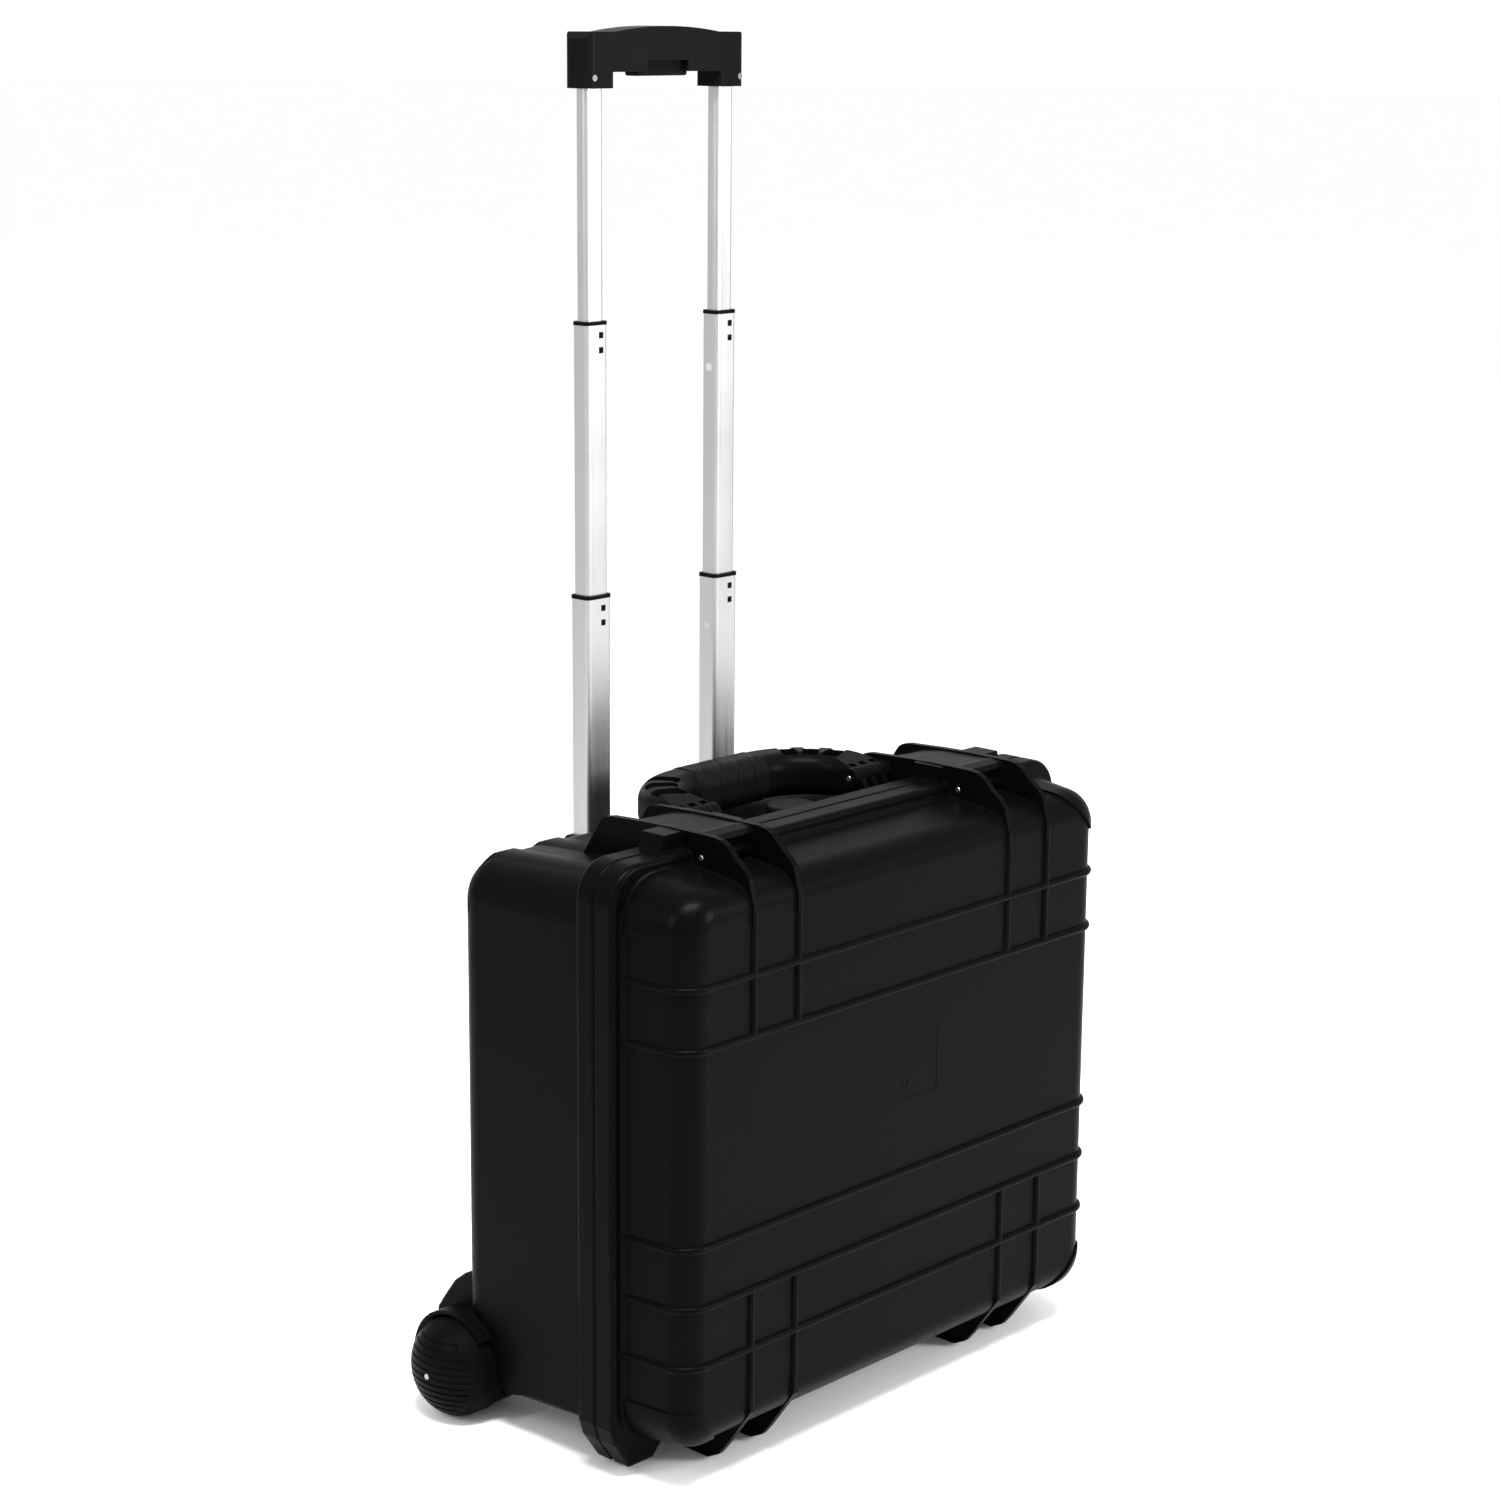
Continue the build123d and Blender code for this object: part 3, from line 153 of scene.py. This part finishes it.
def rubber(name, level, rough=0.62, grain=1400.0, wrap=False):
    s = Shader(name)
    if wrap:
        # slanting wrap grooves around a grip that runs along X
        turned = s.node("ShaderNodeMapping", {"Vector": s.place})
        turned.inputs["Rotation"].default_value = (0.0, 0.0, math.radians(32))
        grooves = s.node(
            "ShaderNodeTexWave", {"Vector": turned.outputs["Vector"], "Scale": 18.0, "Distortion": 0.0}
        )
        s.bump(s.remap(grooves.outputs["Fac"], 0.0, 0.22, 0.0, 1.0), 0.9 * MM, 0.9)
    patches = s.noise(22.0, 4.0, 0.6)
    s.bump(s.noise(grain, 3.0, 0.65), 0.06 * MM, 0.6)
    tone = s.mix(patches, grey(level * 0.85), grey(level * 1.25, 0.0003))
    tone = s.mix(
        s.math("MULTIPLY", s.remap(s.crevice(3 * MM), 0.25, 0.85, 1.0, 0.0), 0.4), tone, (0.045, 0.043, 0.04, 1.0)
    )
    roughness = s.remap(patches, 0.3, 0.7, rough - 0.06, rough + 0.06)
    return s.set(Base_Color=tone, Roughness=roughness, IOR=1.5, Specular_IOR_Level=0.022).done()


def drawn_aluminium(name):
    """Satin anodised extrusion: fine lines along the tube and faint sliding marks."""
    s = Shader(name)
    lines = s.noise(1.0, 5.0, 0.65, s.stretched((2600.0, 2600.0, 3.0)))
    fine = s.noise(1.0, 2.0, 0.5, s.stretched((900.0, 900.0, 1.2)))
    marks = s.noise(1.0, 3.0, 0.5, s.stretched((420.0, 420.0, 9.0)))
    patches = s.noise(14.0, 3.0, 0.5)
    s.bump(lines, 0.02 * MM, 0.35)
    tone = s.mix(lines, (0.385, 0.385, 0.382, 1.0), (0.44, 0.44, 0.437, 1.0))
    tone = s.mix(s.remap(marks, 0.62, 0.78, 0.0, 0.25), tone, (0.31, 0.31, 0.308, 1.0))
    roughness = s.remap(fine, 0.3, 0.7, 0.30, 0.40)
    roughness = s.math("ADD", roughness, s.remap(patches, 0.4, 0.7, 0.0, 0.05))
    return s.set(Base_Color=tone, Roughness=roughness, Metallic=1.0, Anisotropic=0.35).done()


def turned_steel(name, level, rough):
    s = Shader(name)
    rings = s.noise(1.0, 4.0, 0.6, s.stretched((3000.0, 500.0, 500.0)))
    spots = s.noise(700.0, 4.0, 0.6)
    s.bump(rings, 0.01 * MM, 0.4)
    tone = s.mix(spots, grey(level * 0.85), grey(level * 1.1))
    roughness = s.remap(rings, 0.3, 0.7, rough - 0.06, rough + 0.08)
    return s.set(Base_Color=tone, Roughness=roughness, Metallic=1.0).done()


MATERIALS = {
    "shell": moulded_plastic("shell", 0.0012, 0.34, grain=850.0, depth=0.06),
    "seal": rubber("seal", 0.03),
    "latch": moulded_plastic("latch", 0.0016, 0.36, grain=1100.0, depth=0.035),
    "pin_steel": turned_steel("pin_steel", 0.62, 0.28),
    "grip_rubber": rubber("grip_rubber", 0.003, 0.42, wrap=True),
    "handle_plastic": moulded_plastic("handle_plastic", 0.0018, 0.38, grain=1000.0, depth=0.04),
    "valve_plastic": moulded_plastic("valve_plastic", 0.0035, 0.42, grain=1000.0, depth=0.04),
    "tube_aluminium": drawn_aluminium("tube_aluminium"),
    "collar_plastic": moulded_plastic("collar_plastic", 0.002, 0.4, grain=1300.0, depth=0.03, wave=False),
    "lock_plastic": moulded_plastic("lock_plastic", 0.32, 0.42, grain=1300.0, depth=0.03, wave=False),
    "trolley_grip_plastic": moulded_plastic("trolley_grip_plastic", 0.003, 0.36, grain=1100.0, depth=0.04),
    "button_plastic": moulded_plastic("button_plastic", 0.003, 0.5, grain=1300.0, depth=0.04),
    "release_steel": turned_steel("release_steel", 0.5, 0.35),
    "screw_steel": turned_steel("screw_steel", 0.16, 0.38),
    "trolley_plastic": moulded_plastic("trolley_plastic", 0.002, 0.42, grain=950.0, depth=0.05),
    "bracket_plastic": moulded_plastic("bracket_plastic", 0.002, 0.42, grain=950.0, depth=0.05),
    "axle_steel": turned_steel("axle_steel", 0.3, 0.35),
    "tyre_rubber": rubber("tyre_rubber", 0.002, 0.58),
    "hub_plastic": moulded_plastic("hub_plastic", 0.002, 0.38, grain=1000.0, depth=0.04),
}

# ---------------------------------------------------------------- CAD nodes: material, soft edges

SLOT_OF = {row["node"]: row["material_slot"] for row in frame["record"]["subparts"]}
SHARP = math.radians(32)
EDGE_ROUND = {
    "lid_shell": 0.9, "base_shell": 0.9, "latch_left": 0.8, "latch_right": 0.8, "carry_handle_frame": 0.7,
    "trolley_grip": 0.8, "trolley_cover": 1.0, "trolley_top_block": 0.9, "trolley_foot_block": 1.0,
    "wheel_bracket_left": 1.2, "wheel_bracket_right": 1.2,
}


def shade_smooth(mesh):
    for polygon in mesh.polygons:
        polygon.use_smooth = True


def soften(piece, width):
    """Round the piece's hard edges by a small real radius."""
    bevel = piece.modifiers.new("soft_edges", "BEVEL")
    bevel.width = width
    bevel.segments = 3
    bevel.limit_method = "ANGLE"
    bevel.angle_limit = SHARP
    bevel.harden_normals = True


def dress_node(name, node):
    node.data.materials.clear()
    node.data.materials.append(MATERIALS[SLOT_OF[name]])
    shade_smooth(node.data)
    soften(node, EDGE_ROUND.get(name, 0.25) * MM)


for node_name, node_object in NODES.items():
    dress_node(node_name, node_object)

# ---------------------------------------------------------------- floor, light, camera

FLOOR_REACH = 40.0


def floor():
    mesh = bpy.data.meshes.new("floor")
    made = bmesh.new()
    corners = [(-1, -1), (1, -1), (1, 1), (-1, 1)]
    made.faces.new([made.verts.new((x * FLOOR_REACH, y * FLOOR_REACH, -0.0005)) for x, y in corners])
    made.to_mesh(mesh)
    piece = bpy.data.objects.new("floor", mesh)
    bpy.context.scene.collection.objects.link(piece)
    s = Shader("floor_paper")
    s.bump(s.noise(350.0, 3.0), 0.05 * MM, 0.2)
    tone = s.mix(s.noise(3.0, 2.0), (0.95, 0.95, 0.948, 1.0), (0.97, 0.97, 0.968, 1.0))
    piece.data.materials.append(s.set(Base_Color=tone, Roughness=0.7).done())


def softbox(name, where, target, size, power):
    light = bpy.data.lights.new(name, "AREA")
    light.shape = "RECTANGLE"
    light.size, light.size_y = size
    light.energy = power
    lamp = bpy.data.objects.new(name, light)
    bpy.context.scene.collection.objects.link(lamp)
    lamp.location = where
    lamp.rotation_euler = (Vector(target) - Vector(where)).to_track_quat("-Z", "Y").to_euler()


def world(level):
    made = bpy.data.worlds.new("studio")
    made.use_nodes = True
    background = made.node_tree.nodes["Background"]
    background.inputs["Color"].default_value = (1.0, 1.0, 1.0, 1.0)
    background.inputs["Strength"].default_value = level
    bpy.context.scene.world = made


def camera(where, azimuth, elevation, roll, lens):
    """Camera by its place and view angles in degrees; azimuth 0 looks along +Y."""
    a, e, r = (math.radians(v) for v in (azimuth, elevation, roll))
    back = Vector((math.sin(a) * math.cos(e), -math.cos(a) * math.cos(e), math.sin(e)))
    right = (-back).cross(Vector((0, 0, 1))).normalized()
    up = right.cross(-back)
    turned = right * math.cos(r) + up * math.sin(r)
    upright = up * math.cos(r) - right * math.sin(r)
    data = bpy.data.cameras.new("camera")
    data.lens = lens
    data.sensor_width = 36.0
    data.clip_end = 50.0
    made = bpy.data.objects.new("camera", data)
    bpy.context.scene.collection.objects.link(made)
    made.matrix_world = Matrix.Translation(where) @ Matrix(
        [(turned[i], upright[i], back[i]) for i in range(3)]
    ).to_4x4()
    bpy.context.scene.camera = made


bpy.context.scene.view_settings.view_transform = "Standard"
floor()
world(1.03)
centre = (0.0, 0.0, 0.3)
softbox("overhead", (-0.5, -0.7, 2.3), centre, (1.4, 0.3), 95)
softbox("front", (1.2, -2.4, 1.2), centre, (0.35, 1.0), 60)
softbox("left", (-2.2, 0.4, 1.6), centre, (0.25, 1.0), 16)
camera((-1.88483, -1.7162214, 1.11107), -47.266, 12.958, 0.441, 77.356)
